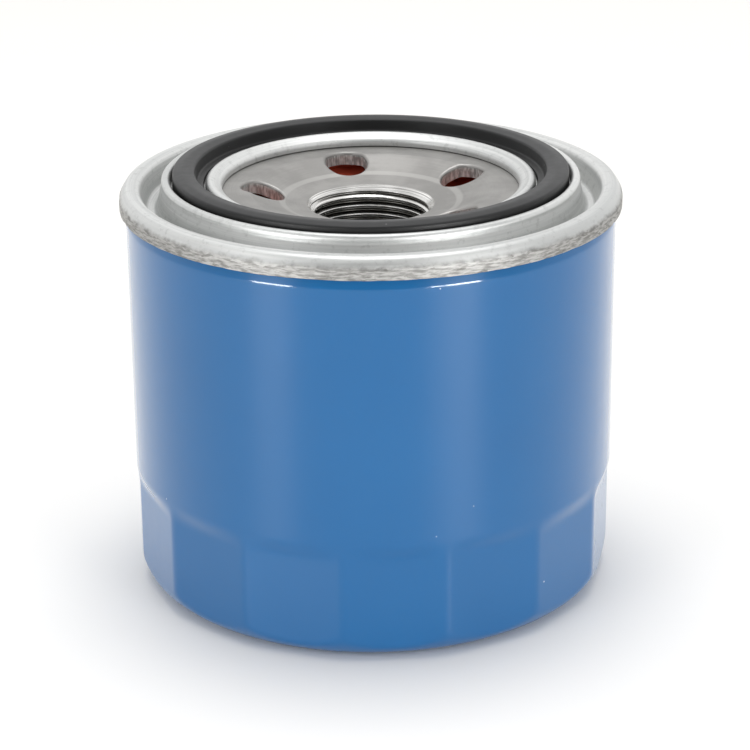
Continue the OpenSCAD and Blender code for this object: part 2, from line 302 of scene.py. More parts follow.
def lathe(name, outline, materials, segments=FULL, shape=None, face_slot=None):
    """A ring made by turning a closed outline about the axis.

    shape(r, z, a) may move its points; face_slot(r, z) picks a face's material from its outline point.
    """
    outline = np.asarray(outline, float)
    if area(outline) < 0:
        outline = outline[::-1]
    a = np.arange(segments) * TAU / segments
    r, angle = np.meshgrid(outline[:, 0], a)
    z = np.broadcast_to(outline[:, 1], r.shape)
    if shape:
        r, z = shape(r, z, angle)
    points = np.stack([r * np.cos(angle), r * np.sin(angle), z], -1).reshape(-1, 3)
    faces = grid_faces(segments, len(outline))
    slots = None
    if face_slot:
        middle = (outline + np.roll(outline, -1, axis=0)) / 2
        slots = np.tile([face_slot(p[0], p[1]) for p in middle], segments)
    return piece(name, points, faces, materials, slots)


def cut(obj, cutter, soft=None):
    """Subtracts cutter from obj, and gives the new faces the cutter's materials.

    Edges between two materials are sharp; edges inside material slot soft are smooth.
    """
    modifier = obj.modifiers.new("cut", "BOOLEAN")
    modifier.operation = "DIFFERENCE"
    modifier.solver = "EXACT"
    modifier.material_mode = "TRANSFER"
    modifier.object = cutter
    graph = bpy.context.evaluated_depsgraph_get()
    mesh = bpy.data.meshes.new_from_object(obj.evaluated_get(graph))
    obj.modifiers.clear()
    obj.data = mesh
    bpy.data.objects.remove(cutter)
    shade(obj)
    bm = bmesh.new()
    bm.from_mesh(mesh)
    for edge in bm.edges:
        slots = {face.material_index for face in edge.link_faces}
        if len(slots) > 1:
            edge.smooth = False
        elif slots == {soft}:
            edge.smooth = True
    bm.to_mesh(mesh)
    bm.free()


def smooth_step(x, low, high):
    t = np.clip((x - low) / (high - low), 0, 1)
    return t * t * (3 - 2 * t)


def waves(seed, harmonics):
    """A gentle closed wave round the axis, between about -1 and 1, from a few harmonics."""
    draw = random.Random(seed)
    terms = [(n, draw.uniform(0, TAU), draw.uniform(0.5, 1)) for n in harmonics]
    total = sum(t[2] for t in terms)

    def wave(a):
        return sum(w * np.sin(n * a + p) for n, p, w in terms) / total

    return wave


# ---- Node materials ----


class Paint:
    """Builds one node material. Constants go straight on the shader's own sockets."""

    def __init__(self, name, **constants):
        self.material = bpy.data.materials.new(name)
        self.material.use_nodes = True
        self.tree = self.material.node_tree
        self.shader = self.tree.nodes["Principled BSDF"]
        for key, value in constants.items():
            self.shader.inputs[key.replace("_", " ")].default_value = value
        self.place = self.node("TexCoord").outputs["Object"]
        split = self.node("SeparateXYZ", {0: self.place})
        self.x, self.y, self.z = (self.math("MULTIPLY", split.outputs[i], 1000.0) for i in range(3))
        flat = self.node("CombineXYZ", {0: self.x, 1: self.y}).outputs[0]
        self.r = self.node("VectorMath", {0: flat}, operation="LENGTH").outputs["Value"]
        self.round = self.node("VectorMath", {0: flat}, operation="NORMALIZE").outputs[0]

    def node(self, kind, inputs=None, **settings):
        made = self.tree.nodes.new("ShaderNode" + kind)
        for key, value in settings.items():
            setattr(made, key, value)
        for key, value in (inputs or {}).items():
            self.feed(made.inputs[key], value)
        return made

    def feed(self, socket, value):
        if isinstance(value, bpy.types.NodeSocket):
            self.tree.links.new(value, socket)
        else:
            socket.default_value = value

    def math(self, operation, a, b=0.0, clamp=False):
        return self.node("Math", {0: a, 1: b}, operation=operation, use_clamp=clamp).outputs[0]

    def band(self, value, low, high):
        """0 below low and 1 above high, smooth between."""
        made = self.node("MapRange", {"Value": value, "From Min": low, "From Max": high})
        made.interpolation_type = "SMOOTHSTEP"
        return made.outputs["Result"]

    def between(self, value, low, high, soft):
        up = self.band(value, low - soft, low + soft)
        down = self.band(value, high + soft, high - soft)
        return self.math("MULTIPLY", up, down)

    def noise(self, size, detail=3.0, rough=0.55, vector=None):
        """Noise whose features are about size millimetres across."""
        scale = (1.0 if vector else 1000.0) / size
        inputs = {"Vector": vector or self.place, "Scale": scale, "Detail": detail, "Roughness": rough}
        return self.node("TexNoise", inputs).outputs["Fac"]

    def streaks(self, across, around, detail=3.0, z_share=0.8):
        """Noise drawn out round the axis: fine across it, long round it, in millimetres."""
        up = self.math("ADD", self.r, self.math("MULTIPLY", self.z, z_share))
        fine = self.node("CombineXYZ", {2: self.math("DIVIDE", up, across)}).outputs[0]
        scale = {0: self.round, 3: 33.0 / around}
        long = self.node("VectorMath", scale, operation="SCALE").outputs[0]
        both = self.node("VectorMath", {0: fine, 1: long}, operation="ADD").outputs[0]
        return self.noise(1.0, detail, 0.6, both)

    def specks(self, spacing, size):
        """1 on small round specks about spacing millimetres apart."""
        inputs = {"Vector": self.place, "Scale": 1000.0 / spacing}
        cells = self.node("TexVoronoi", inputs)
        lucky = self.node("SeparateColor", {0: cells.outputs["Color"]}).outputs[0]
        limit = self.math("MULTIPLY", self.math("MULTIPLY", lucky, lucky), size / spacing)
        return self.math("LESS_THAN", cells.outputs["Distance"], limit)

    def mix(self, factor, a, b):
        made = self.node("Mix", {0: factor, 6: a, 7: b}, data_type="RGBA")
        return made.outputs[2]

    def blend(self, factor, a, b):
        made = self.node("Mix", {0: factor, 2: a, 3: b}, data_type="FLOAT")
        return made.outputs[0]

    def color(self, socket):
        self.feed(self.shader.inputs["Base Color"], socket)

    def roughness(self, socket):
        self.feed(self.shader.inputs["Roughness"], socket)

    def bump(self, *layers):
        """Stacks bumps given as (height, depth in millimetres)."""
        normal = None
        for height, depth in layers:
            inputs = {"Height": height, "Strength": 1.0, "Distance": depth * MM}
            if normal is not None:
                inputs["Normal"] = normal
            normal = self.node("Bump", inputs).outputs[0]
        self.feed(self.shader.inputs["Normal"], normal)


def rgb(r, g, b):
    return (r, g, b, 1.0)


def blue_paint():
    """Gloss enamel; drawing marks under it stretch its soft highlights up and down."""
    p = Paint(
        "blue_paint", Metallic=0.0, Specular_IOR_Level=0.18, Anisotropic=0.85, Anisotropic_Rotation=0.25,
        Coat_Weight=1.0, Coat_Roughness=0.10, Coat_IOR=1.42,
    )
    around = p.node("Tangent", direction_type="RADIAL", axis="Z").outputs[0]
    p.feed(p.shader.inputs["Tangent"], around)
    cloud = p.noise(22.0, 2.0)
    base = p.mix(cloud, rgb(0.002, 0.083, 0.234), rgb(0.004, 0.094, 0.256))
    dust = p.specks(5.5, 0.15)
    p.color(p.mix(p.math("MULTIPLY", dust, 0.7), base, rgb(0.62, 0.66, 0.70)))
    p.roughness(p.blend(p.noise(3.0, 4.0), 0.31, 0.36))
    p.bump((p.noise(2.6, 2.0), 0.004), (p.noise(0.5, 2.0), 0.0002))
    return p.material


def zinc_lid():
    """Zinc plate with fine lines round it; the hem over the can is scuffed to a matt grey."""
    p = Paint("zinc_lid", Metallic=1.0)
    fine = p.streaks(0.16, 26)
    broad = p.streaks(0.8, 60)
    blotch = p.noise(1.1, 5.0, 0.65)
    tone = p.math("ADD", p.math("MULTIPLY", fine, 0.4), p.math("MULTIPLY", broad, 0.6))
    base = p.mix(p.band(tone, 0.34, 0.66), rgb(0.53, 0.54, 0.535), rgb(0.71, 0.715, 0.705))
    base = p.mix(p.math("MULTIPLY", p.band(blotch, 0.52, 0.70), 0.32), base, rgb(0.32, 0.325, 0.32))
    low = p.band(p.math("ADD", p.z, p.math("MULTIPLY", p.noise(1.6, 4.0), 0.9)), 67.35, 66.45)
    hem = p.math("MULTIPLY", p.band(p.r, SEAM_R - 1.0, SEAM_R - 0.7), low)
    scuff = p.streaks(0.24, 1.5, 5.0)
    cream = p.mix(p.band(scuff, 0.36, 0.62), rgb(0.21, 0.208, 0.20), rgb(0.425, 0.422, 0.41))
    nick = p.math("MULTIPLY", p.band(p.streaks(0.5, 2.2, 5.0), 0.60, 0.66), 0.7)
    cream = p.mix(nick, cream, rgb(0.15, 0.145, 0.135))
    p.color(p.mix(hem, base, cream))
    satin = p.blend(p.band(fine, 0.3, 0.7), 0.42, 0.54)
    p.roughness(p.blend(hem, satin, p.blend(scuff, 0.5, 0.68)))
    p.bump((fine, 0.003), (broad, 0.006), (p.math("MULTIPLY", scuff, hem), 0.03))
    return p.material


def base_steel():
    """Dull steel, with a painted highlight: the sloped ring round the neck is coloured paler."""
    p = Paint("base_steel", Metallic=1.0)
    grain = p.noise(0.35, 4.0, 0.6)
    ring = p.streaks(0.2, 18)
    cloud = p.noise(7.0, 3.0)
    tone = p.math("ADD", p.math("MULTIPLY", ring, 0.2), p.math("MULTIPLY", cloud, 0.8))
    base = p.mix(p.band(tone, 0.36, 0.64), rgb(0.29, 0.284, 0.274), rgb(0.362, 0.354, 0.342))
    # painted highlight: a paler colour on the sloped ring round the neck
    bevel_highlight = p.between(p.r, 14.0, 15.05, 0.18)
    p.color(p.mix(p.math("MULTIPLY", bevel_highlight, 0.6), base, rgb(0.46, 0.452, 0.436)))
    p.roughness(p.blend(grain, 0.42, 0.54))
    p.bump((grain, 0.003), (ring, 0.0007), (p.noise(4.0, 2.0), 0.02))
    return p.material


def sheared_steel():
    """Walls of the punched holes, with lines up and down."""
    p = Paint("sheared_steel", Metallic=0.3)
    stretch = p.node("Mapping", {"Vector": p.place, "Scale": (1.0, 1.0, 0.25)}).outputs[0]
    lines = p.node("TexNoise", {"Vector": stretch, "Scale": 2600.0, "Detail": 4.0}).outputs["Fac"]
    p.color(p.mix(p.band(lines, 0.35, 0.65), rgb(0.28, 0.31, 0.305), rgb(0.62, 0.67, 0.66)))
    p.roughness(p.blend(lines, 0.38, 0.55))
    p.bump((lines, 0.006), (p.noise(0.8, 3.0), 0.02))
    return p.material


def thread_steel():
    """Painted highlight on the crests and the entry, over painted shade in the roots."""
    p = Paint("thread_steel", Metallic=1.0)
    line = p.streaks(0.22, 34, 2.0)
    # painted light: the crests and the entry cone get a near-white colour as a highlight, the roots a
    # dark one as shade
    painted_highlight_mask = p.band(p.math("ADD", p.band(p.r, 9.75, 9.4), p.band(p.z, 62.5, 62.8)), 0.0, 1.0)
    highlight_color = p.mix(p.band(line, 0.3, 0.7), rgb(0.46, 0.455, 0.44), rgb(0.93, 0.92, 0.90))
    p.color(p.mix(painted_highlight_mask, p.mix(line, rgb(0.16, 0.155, 0.145), rgb(0.28, 0.27, 0.25)), highlight_color))
    p.roughness(p.blend(line, 0.18, 0.30))
    p.bump((line, 0.012),)
    return p.material


def gasket_rubber():
    """Black rubber, a little dusty, with a painted sheen: its top face is coloured a lighter grey."""
    p = Paint("gasket_rubber", Metallic=0.0, IOR=1.48, Specular_IOR_Level=0.34)
    cloud = p.noise(5.0, 4.0)
    base = p.mix(cloud, rgb(0.0045, 0.0047, 0.005), rgb(0.008, 0.0082, 0.0086))
    # painted sheen: the top face gets a lighter grey than the rest of the rubber
    top = p.band(p.z, GASKET_TOP_Z - 0.6, GASKET_TOP_Z - 0.1)
    base = p.mix(top, base, p.mix(cloud, rgb(0.013, 0.0135, 0.0145), rgb(0.023, 0.0235, 0.0245)))
    dust = p.specks(2.6, 0.18)
    p.color(p.mix(p.math("MULTIPLY", dust, 0.35), base, rgb(0.42, 0.42, 0.41)))
    p.roughness(p.blend(p.noise(1.4, 5.0), 0.38, 0.52))
    p.bump((p.noise(0.28, 3.0), 0.004), (p.streaks(0.25, 20), 0.004), (p.noise(3.0, 2.0), 0.01))
    return p.material


def silicone():
    p = Paint("red_silicone", Metallic=0.0, IOR=1.43)
    p.color(p.mix(p.noise(3.0, 4.0), rgb(0.66, 0.10, 0.055), rgb(0.80, 0.145, 0.08)))
    p.roughness(p.blend(p.noise(1.2, 3.0), 0.34, 0.48))
    p.bump((p.noise(0.5, 3.0), 0.006), (p.streaks(0.6, 30), 0.008))
    return p.material


def rubber(name, low, high):
    p = Paint(name, Metallic=0.0)
    p.color(p.mix(p.noise(1.5, 4.0), rgb(*low), rgb(*high)))
    p.roughness(p.blend(p.noise(0.8, 3.0), 0.45, 0.65))
    p.bump((p.noise(0.3, 3.0), 0.01),)
    return p.material


def metal(name, low, high, rough, across=0.2, around=20):
    """Bright sheet metal with fine draw lines and soft blotches."""
    p = Paint(name, Metallic=1.0)
    line = p.streaks(across, around)
    cloud = p.noise(4.0, 4.0)
    tone = p.math("ADD", p.math("MULTIPLY", line, 0.5), p.math("MULTIPLY", cloud, 0.5))
    p.color(p.mix(p.band(tone, 0.34, 0.66), rgb(*low), rgb(*high)))
    p.roughness(p.blend(line, rough[0], rough[1]))
    p.bump((line, 0.004), (cloud, 0.01))
    return p.material


def filter_paper():
    p = Paint("filter_paper", Metallic=0.0, Sheen_Weight=0.25, Sheen_Roughness=0.6)
    fibre = p.node("Mapping", {"Vector": p.place, "Scale": (1.0, 1.0, 0.35)}).outputs[0]
    thread = p.node("TexNoise", {"Vector": fibre, "Scale": 2800.0, "Detail": 6.0}).outputs["Fac"]
    cloud = p.noise(6.0, 4.0)
    base = p.mix(cloud, rgb(0.52, 0.37, 0.16), rgb(0.66, 0.50, 0.25))
    p.color(p.mix(p.band(thread, 0.55, 0.72), base, rgb(0.78, 0.66, 0.42)))
    p.roughness(p.blend(thread, 0.78, 0.95))
    p.bump((thread, 0.03), (cloud, 0.05))
    return p.material


def adhesive():
    p = Paint("adhesive", Metallic=0.0, Coat_Weight=0.3, Coat_Roughness=0.2)
    p.color(p.mix(p.noise(3.0, 4.0), rgb(0.085, 0.095, 0.085), rgb(0.13, 0.14, 0.125)))
    p.roughness(p.blend(p.noise(1.5, 3.0), 0.35, 0.55))
    p.bump((p.noise(1.2, 3.0), 0.06),)
    return p.material


BLUE = blue_paint()
ZINC = zinc_lid()
BASE = base_steel()
SHEARED = sheared_steel()
THREAD = thread_steel()
GASKET = gasket_rubber()
SILICONE = silicone()
COMPOUND = rubber("seam_compound", (0.03, 0.075, 0.055), (0.05, 0.11, 0.08))
SEAL = rubber("seal_rubber", (0.012, 0.012, 0.013), (0.03, 0.03, 0.031))
SPRING = metal("spring_steel", (0.20, 0.20, 0.205), (0.40, 0.40, 0.41), (0.26, 0.4), 0.12, 9)
CAP = metal("cap_steel", (0.52, 0.53, 0.54), (0.72, 0.73, 0.74), (0.2, 0.38))
TUBE = metal("tube_steel", (0.44, 0.45, 0.46), (0.64, 0.65, 0.66), (0.28, 0.42))
CLIP = metal("clip_steel", (0.40, 0.41, 0.42), (0.60, 0.61, 0.62), (0.3, 0.45), 0.15, 6)
VALVE = metal("valve_steel", (0.48, 0.49, 0.50), (0.70, 0.71, 0.72), (0.24, 0.38), 0.15, 12)
BRASS = metal("stem_brass", (0.50, 0.38, 0.17), (0.72, 0.57, 0.28), (0.2, 0.34), 0.12, 6)
PAPER = filter_paper()
ADHESIVE = adhesive()


# ---- Can: a drawn cup with wrench flats pressed into its closed end ----


def flat_radius(a):
    """Radius of the softly cornered polygon of wrench flats, in direction a."""
    half = math.pi / FLAT_COUNT
    off = np.abs((a - FLAT_TURN + half) % (2 * half) - half)
    reach = (APOTHEM - FLAT_CORNER_R) / math.cos(half)
    soft = half - math.atan((APOTHEM - FLAT_CORNER_R) * math.tan(half) / APOTHEM)
    inside = np.maximum(FLAT_CORNER_R**2 - (reach * np.sin(off)) ** 2, 0)
    rounded = reach * np.cos(off) + np.sqrt(inside)
    return np.where(off < soft, rounded, APOTHEM / np.cos(half - off))


def soft_min(a, b, soft):
    h = np.clip(0.5 + 0.5 * (b - a) / soft, 0, 1)
    return b + (a - b) * h - soft * h * (1 - h)


def can_shape(r, z, a):
    pressed = 1 - smooth_step(z, FLAT_LOW_Z, FLAT_HIGH_Z)
    inset = np.where(np.arange(r.shape[1]) < len(can_outer), 0.0, CAN_SHEET)
    flats = soft_min(r, flat_radius(a) - inset, 0.3)
    ripple = 0.03 * np.abs(can_ripple(a)) * smooth_step(z, 4, 24)
    return r + (flats - r) * pressed * (r > 30) - ripple * (r > 36), z


can_ripple = waves(5, (2, 3, 5, 7))
can_path = bent([
    (0, FOOT_RECESS),
    (FOOT_R - 5, FOOT_RECESS, 1.6),
    (FOOT_R, 0, 1.6),
    (CAN_R, 0, CAN_EDGE_R),
    (CAN_R, NECK_LOW_Z, 2),
    (CAN_R - NECK_IN, NECK_LOW_Z + NECK_H, 2),
    (CAN_R - NECK_IN, WALL_TOP_Z),
])
can_outer = dense(can_path, 0.45)
can_inner = beside(can_outer, CAN_SHEET)
can_inner[0] = (0, FOOT_RECESS + CAN_SHEET)
can = lathe(
    "painted_can", np.vstack([can_outer, can_inner[::-1]]), [BLUE], 560, can_shape,
)
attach(can, "housing")
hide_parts("can_shell")

# ---- Lid: one stamped sheet, from the collar inside the gasket to the seam's hem ----

FOLD_R = LID_SHEET / 2 + 0.03
RIM_IN_R = RIM_BORE_R + LID_SHEET / 2
RIM_OUT_R = RIM_IN_R + 2 * FOLD_R + 0.02
RIM_FOLD_Z = RIM_TOP_Z - FOLD_R - LID_SHEET / 2
TROUGH_MID_Z = TROUGH_FLOOR_Z - LID_SHEET / 2
CREST_MID_Z = CREST_TOP_Z - LID_SHEET / 2
COLLAR_MID_R = COLLAR_BORE_R + LID_SHEET / 2
COLLAR_MID_Z = COLLAR_TOP_Z - LID_SHEET / 2
COLLAR_WALL_R = GASKET_BORE_R - 0.25 - LID_SHEET / 2
HEM_R = SEAM_R - LID_SHEET / 2
NICK_COUNT = 150

lid_path = bent([
    (COLLAR_MID_R, PLATE_Z + FIT_GAP + 0.1),
    (COLLAR_MID_R, COLLAR_MID_Z - 1.15, 0.65),
    (COLLAR_WALL_R, COLLAR_MID_Z, 0.45),
    (COLLAR_WALL_R, GROOVE_FLOOR_Z, 0.4),
    (RIM_IN_R, GROOVE_FLOOR_Z, 0.4),
    (RIM_IN_R, RIM_FOLD_Z + FOLD_R, FOLD_R),
    (RIM_OUT_R, RIM_FOLD_Z + FOLD_R, FOLD_R),
    (RIM_OUT_R, RIM_FOLD_Z - 0.6),
    (RIM_IN_R + 1.75, TROUGH_MID_Z, 1.1),
    (TROUGH_OUT_R, TROUGH_MID_Z, 1.0),
    (CREST_IN_R, CREST_MID_Z, 0.8),
    (CREST_OUT_R, CREST_MID_Z, 0.9),
    (HEM_R - 0.08, 66.1, 0.8),
    (HEM_R - 0.02, 65.8, 0.2),
    (HEM_R - 0.04, HEM_LOW_Z + 0.1),
])
nick_ranges = ((0, TAU), (64.4, 66.3), (0.05, 0.16), (0.004, 0.02), (0.12, 0.4))
nicks = [[rng.uniform(low, high) for low, high in nick_ranges] for _ in range(NICK_COUNT)]
lid_wave = waves(8, (2, 3, 4))
hem_wave = waves(9, (11, 17, 23, 31, 47, 61, 83))


def lid_shape(r, z, a):
    """Dents and waves the hem, and lets the crest rise and fall a little round the axis."""
    hem = smooth_step(r, 40.1, 40.4) * smooth_step(z, 66.9, 66.2)
    pressed = np.zeros_like(r)
    for at, height, depth, wide, tall in nicks:
        off = (a - at + math.pi) % TAU - math.pi
        near = np.abs(off[:, 0]) < 4 * wide
        off, level = off[near], z[near]
        pressed[near] += depth * np.exp(-((off / wide) ** 2) - ((level - height) / tall) ** 2)
    fall = smooth_step(z, 65.2, 64.4) * hem
    r = r - hem * (np.minimum(pressed, 0.22) + 0.03 * np.abs(hem_wave(a)))
    z = z + 0.035 * lid_wave(a) * smooth_step(r, 37.0, 38.0) * (z < 67.5) + fall * 0.07 * hem_wave(a)
    return r, z


lid = lathe("rolled_lid", sheet(lid_path, LID_SHEET, 0.35), [ZINC], 900, lid_shape)
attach(lid, "housing")
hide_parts("seaming_lid")

# ---- Sealing compound squeezed between the lid's upright wall and the can ----

bead_wave = waves(3, (5, 9, 14, 22))


def bead_shape(r, z, a):
    return r, z + 0.12 * bead_wave(a) * smooth_step(z, COMPOUND_LOW_Z + 0.3, COMPOUND_LOW_Z)


bead = lathe(
    "sealing_compound",
    dense(bent([
        (COMPOUND_IN_R, COMPOUND_LOW_Z, 0.15),
        (COMPOUND_OUT_R, COMPOUND_LOW_Z, 0.15),
        (COMPOUND_OUT_R, WALL_TOP_Z, 0.1),
        (COMPOUND_IN_R, WALL_TOP_Z, 0.1),
    ]), 0.2, True),
    [COMPOUND], 240, bead_shape,
)
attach(bead, "housing")
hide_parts("seam_compound")

# ---- Base plate: dished, pierced by the inlet holes, with a drawn and threaded neck ----

plate_top = bent([
    (ENTRY_R - 0.3, ENTRY_Z - 0.345),
    (ENTRY_R, ENTRY_Z, 0.12),
    (13.9, 64.45, 0.35),
    (NECK_RIM_R, 64.85, 0.35),
    (DISH_R, PLATE_Z, 2),
    (PLATE_R - 0.3, PLATE_Z),
    (PLATE_R, PLATE_Z - 0.3),
])
plate_under = bent([
    (PLATE_R, PLATE_Z - PLATE_T + 0.2),
    (PLATE_R - 0.2, PLATE_Z - PLATE_T),
    (DISH_R, PLATE_Z - PLATE_T, 2),
    (NECK_RIM_R, 64.65 - PLATE_T, 0.4),
    (NECK_R, ENTRY_Z - PLATE_T - 0.2, 1.4),
    (NECK_R, THREAD_LOW_Z - 0.7, 0.25),
    (THREAD_MINOR_R + 0.7, THREAD_LOW_Z - 0.7),
])
rows_per_turn = 24
bore_z = np.arange(THREAD_LOW_Z - 0.7, ENTRY_Z - 0.36, THREAD_PITCH / rows_per_turn)[1:]


def chamfer_radius(z):
    """Radius of the plain bore with its entry cone above and a short cone below."""
    upper = THREAD_MINOR_R + (z - THREAD_TOP_Z) * (ENTRY_R - THREAD_MINOR_R) / (ENTRY_Z - THREAD_TOP_Z)
    return np.maximum(np.maximum(THREAD_MINOR_R, upper), THREAD_MINOR_R + THREAD_LOW_Z - z)


def thread_radius(z, a):
    """Radius of a right-handed internal thread, between its minor and major radius."""
    phase = (z / THREAD_PITCH - a / TAU) % 1
    from_root = np.abs(phase - 0.5) * THREAD_PITCH
    rise = np.clip((from_root - THREAD_PITCH / 16) / (THREAD_PITCH * 5 / 16), 0, 1)
    return THREAD_MAJOR_R - (THREAD_MAJOR_R - THREAD_MINOR_R) * rise


def plate_shape(r, z, a):
    bore = (r < ENTRY_R - 0.25) & (z > THREAD_LOW_Z - 0.65)
    threaded = np.maximum(chamfer_radius(z), thread_radius(z, a))
    return np.where(bore, threaded, r), z


def plate_face_slot(r, z):
    """Slot of the thread's material inside the bore, and of the plate's elsewhere."""
    return 1 if r < ENTRY_R - 0.05 and z > THREAD_LOW_Z - 0.65 else 0


bore_line = np.stack([chamfer_radius(bore_z), bore_z], 1)[::-1]
plate_outline = np.vstack([dense(plate_under[::-1], 0.7), dense(plate_top[::-1], 0.7), bore_line])
plate = lathe(
    "base_plate_threaded", plate_outline, [BASE, THREAD, SHEARED], FULL,
    plate_shape, plate_face_slot,
)


def hole_cutter():
    """Five punches whose upper end flares out along the plate's surface, for softly rolled edges."""
    roll, below, above, sides = 0.5, -6.0, 2.0, 96
    profile = [
        (0.0, below),
        (INLET_R + 0.12, below),
        (INLET_R + 0.1, -PLATE_T * 0.6),
        (INLET_R, -PLATE_T * 0.42),
    ]
    wall_rows = len(profile)
    for turn in range(180, 99, -16):
        a = math.radians(turn)
        profile.append((INLET_R + roll + roll * math.cos(a), -roll + roll * math.sin(a)))
    profile += [(INLET_R + roll + 0.35, 0.12), (INLET_R + roll + 0.35, above), (0.0, above)]
    points, faces, slots = [], [], []
    for n in range(INLET_COUNT):
        at = INLET_TURN + n * TAU / INLET_COUNT
        middle = INLET_CIRCLE_R * np.array([math.cos(at), math.sin(at)])
        edge = waves(20 + n, (3, 5, 7, 12))
        start = len(points)
        for i in range(sides):
            a = i * TAU / sides
            for rho, h in profile:
                if rho:
                    rho += 0.05 * float(edge(a)) * (1 if h > -1 else 1.8)
                spot = middle + rho * np.array([math.cos(a), math.sin(a)])
                level = float(np.interp(np.hypot(*spot), plate_top[:, 0], plate_top[:, 1]))
                points.append((spot[0], spot[1], level + h))
        faces.append(grid_faces(sides, len(profile)) + start)
        slots += [0 if j < wall_rows else 1 for j in range(len(profile))] * sides
    punch = piece("punch", points, np.vstack(faces), [SHEARED, BASE], face_slots=slots)
    weld(punch, 0.002)
    return punch


cut(plate, hole_cutter(), soft=1)
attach(plate, "housing")
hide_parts("base_plate")

# ---- Gasket: raised sealing face with a step down to the collar ----

gasket_low = GROOVE_FLOOR_Z + LID_SHEET / 2 + FIT_GAP
gasket_wave = waves(30, (2, 3, 5))


def gasket_shape(r, z, a):
    return r + 0.05 * gasket_wave(a), z


gasket = lathe(
    "rubber_gasket",
    dense(bent([
        (GASKET_BORE_R, gasket_low, 0.2),
        (GASKET_BORE_R, gasket_low + 0.8, 0.3),
        (GASKET_FACE_R - 0.4, gasket_low + 0.95, 0.4),
        (GASKET_FACE_R, GASKET_TOP_Z - 0.25, 0.5),
        (GASKET_CROWN_R, GASKET_TOP_Z + 0.03, 3.0),
        (GASKET_R - 0.05, GASKET_TOP_Z - 0.3, 0.5),
        (GASKET_R, gasket_low, 0.3),
    ]), 0.3, True),
    [GASKET], 480, gasket_shape,
)
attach(gasket, "housing")
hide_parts("sealing_gasket")

# ---- Springs: round wire with closed end coils ----


def coil(name, r0, r1, low, high, turns, wire, ends):
    """A spring whose end coils lie flatter than the rest; ends is the share of turns in each of them."""
    sides, steps = 14, 60
    rings = int(turns * steps)
    s = np.arange(rings + 1) / rings
    climb = np.clip((s - ends * 0.5) / (1 - ends), 0, 1) * 0.86 + 0.14 * s
    radius = r0 + (r1 - r0) * s
    angle = TAU * turns * s
    middle = np.stack([radius * np.cos(angle), radius * np.sin(angle), low + (high - low) * climb], 1)
    along = np.gradient(middle, axis=0)
    along /= np.linalg.norm(along, axis=1)[:, None]
    out = np.stack([np.cos(angle), np.sin(angle), 0 * angle], 1)
    up = np.cross(along, out)
    points = []
    for j in range(sides):
        t = TAU * j / sides
        points.append(middle + wire / 2 * (math.cos(t) * out + math.sin(t) * up))
    points = np.stack(points, 1).reshape(-1, 3)
    return piece(name, points, tube_faces(rings + 1, sides), [SPRING])


SUPPORT_LOW = CAN_SHEET + SUPPORT_WIRE / 2 + FIT_GAP
SUPPORT_HIGH = ELEMENT_LOW_Z - SUPPORT_WIRE / 2 - FIT_GAP
support = coil(
    "support_spring_coil", SUPPORT_FOOT_R, SUPPORT_HEAD_R, SUPPORT_LOW, SUPPORT_HIGH, 3.25,
    SUPPORT_WIRE, 0.3,
)
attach(support, "housing")
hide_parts("support_spring")
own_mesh(support)

BYPASS_LOW = DISC_LOW_Z + DISC_T + BYPASS_WIRE / 2 + FIT_GAP
BYPASS_HIGH = CAGE_TOP_Z - VALVE_SHEET - BYPASS_WIRE / 2 - FIT_GAP
valve_spring = coil(
    "bypass_spring_coil", BYPASS_COIL_R, BYPASS_COIL_R, BYPASS_LOW, BYPASS_HIGH, 5.5,
    BYPASS_WIRE, 0.3,
)
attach(valve_spring, "element")
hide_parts("bypass_spring")
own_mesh(valve_spring)

# ---- End caps of the element, with a stiffening bead ----

top_mid = ELEMENT_TOP_Z - CAP_SHEET / 2
low_mid = ELEMENT_LOW_Z + CAP_SHEET / 2
CAP_WALL_R = CAP_R - CAP_SHEET / 2
top_cap = lathe(
    "end_cap_top",
    sheet(bent([
        (13.4, top_mid - 2.4),
        (13.4, top_mid, 0.7),
        (25.5, top_mid, 0.8),
        (26.2, top_mid + 0.4, 0.8),
        (27.8, top_mid + 0.4, 0.8),
        (28.5, top_mid, 0.8),
        (CAP_WALL_R, top_mid, 0.9),
        (CAP_WALL_R, top_mid - 4),
    ]), CAP_SHEET),
    [CAP],
)
low_cap = lathe(
    "end_cap_bottom",
    sheet(bent([
        (SEAT_R + VALVE_SHEET, low_mid), (CAP_WALL_R, low_mid, 0.9), (CAP_WALL_R, low_mid + 4),
    ]), CAP_SHEET),
    [CAP],
)
for cap, node in ((top_cap, "top_end_cap"), (low_cap, "bottom_end_cap")):
    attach(cap, "element")
    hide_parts(node)

# ---- Centre tube: thin steel, pierced in staggered rows ----

